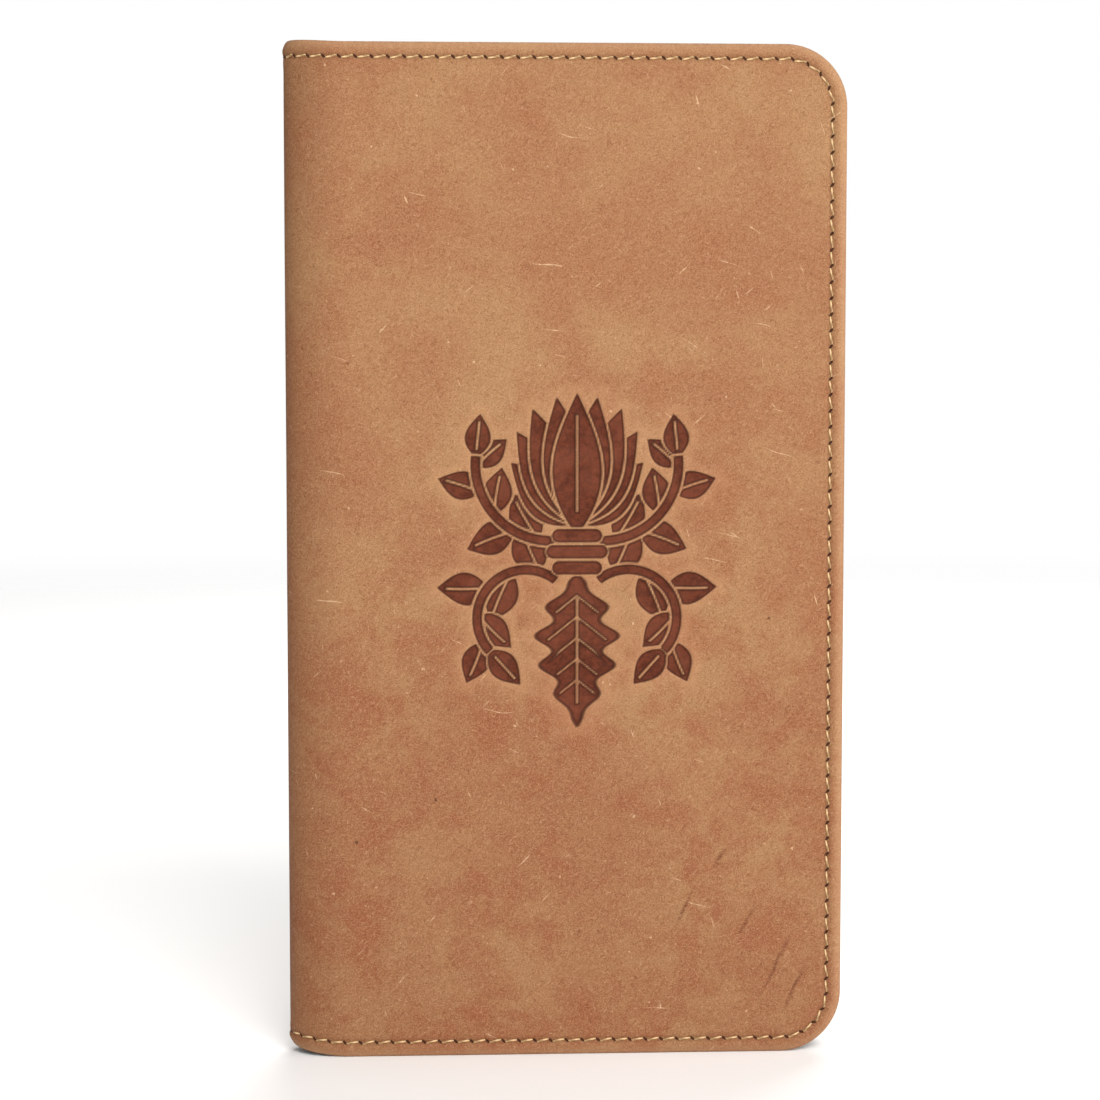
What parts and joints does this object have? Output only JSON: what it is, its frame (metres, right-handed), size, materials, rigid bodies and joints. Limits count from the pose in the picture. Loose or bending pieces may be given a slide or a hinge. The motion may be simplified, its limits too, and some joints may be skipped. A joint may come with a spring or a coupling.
{
  "type": "leather notebook cover",
  "caption": "Slim leather cover that folds flat around a stapled pocket notebook, with turned, stitched edges, an inner sleeve in each side and card pockets.",
  "frame": {"origin": "middle of the closed cover's footprint on the plane of its tail edges", "axes": "+X from the spine to the fore-edge, -Y out of the front cover, +Z from tail to head"},
  "size_m": [0.122, 0.015, 0.221],
  "materials": {
    "tan_leather": "distressed waxed tan leather, satin",
    "inner_leather": "smooth brown leather, satin",
    "lining_cloth": "woven cotton lining, matte",
    "board": "stiffener board, matte",
    "thread": "waxed linen thread",
    "kraft_card": "uncoated kraft card",
    "paper": "uncoated cream paper",
    "staple_wire": "bright wire"
  },
  "bodies": {
    "back_cover": {"outer_leather_back": "tan_leather", "stiffener_board_back": "board", "lining_back": "lining_cloth", "sleeve_back": "inner_leather", "edge_stitching_back": "thread"},
    "spine": {"outer_leather_spine": "tan_leather", "spine_stiffener": "board", "lining_spine": "lining_cloth", "edge_stitching_spine": "thread"},
    "front_cover": {"outer_leather_front": "tan_leather", "stiffener_board_front": "board", "lining_front": "lining_cloth", "sleeve_front": "inner_leather", "card_pocket_upper": "inner_leather", "card_pocket_middle": "inner_leather", "card_pocket_lower": "inner_leather", "card_pocket_stitching": "thread", "edge_stitching_front": "thread"},
    "notebook": {"notebook_card_back": "kraft_card", "notebook_card_spine": "kraft_card", "notebook_staples": "staple_wire", "leaves_back_outer": "paper"},
    "notebook_front_card": {"notebook_card_front": "kraft_card"},
    "leaves_1": {"leaves_front_outer": "paper"},
    "leaves_2": {"leaves_front_inner": "paper"},
    "leaves_3": {"leaves_back_inner": "paper"}
  },
  "joints": [
    {"name": "spine_fold", "type": "hinge", "parent": "back_cover", "child": "spine", "pos_m": [-0.0593, 0.0058, 0.1105], "axis": [0, 0, -1], "range_deg": [0, 90]},
    {"name": "cover_fold", "type": "hinge", "parent": "spine", "child": "front_cover", "pos_m": [-0.0593, -0.0058, 0.1105], "axis": [0, 0, -1], "range_deg": [0, 90]},
    {"name": "notebook_shift", "type": "slide", "parent": "back_cover", "child": "notebook", "axis": [-1, 0, 0], "range_m": [0, 0.0073]},
    {"name": "front_card_shift", "type": "slide", "parent": "front_cover", "child": "notebook_front_card", "axis": [-1, 0, 0], "range_m": [0, 0.0073]},
    {"name": "leaves_1_turn", "type": "hinge", "parent": "notebook", "child": "leaves_1", "pos_m": [-0.0565, 0, 0.1105], "axis": [0, 0, -1], "range_deg": [0, 179.5]},
    {"name": "leaves_2_turn", "type": "hinge", "parent": "notebook", "child": "leaves_2", "pos_m": [-0.0565, 0, 0.1105], "axis": [0, 0, -1], "range_deg": [0, 177]},
    {"name": "leaves_3_turn", "type": "hinge", "parent": "notebook", "child": "leaves_3", "pos_m": [-0.0565, 0, 0.1105], "axis": [0, 0, -1], "range_deg": [0, 3]}
  ],
  "couplings": [
    {"joint": "cover_fold", "follows": "spine_fold", "ratio": 1},
    {"joint": "notebook_shift", "follows": "spine_fold", "m_per_rad": 0.0046473},
    {"joint": "front_card_shift", "follows": "spine_fold", "m_per_rad": 0.0046473},
    {"joint": "leaves_1_turn", "follows": "spine_fold", "ratio": 1.9944},
    {"joint": "leaves_2_turn", "follows": "spine_fold", "ratio": 1.9667},
    {"joint": "leaves_3_turn", "follows": "spine_fold", "ratio": 0.033333}
  ]
}
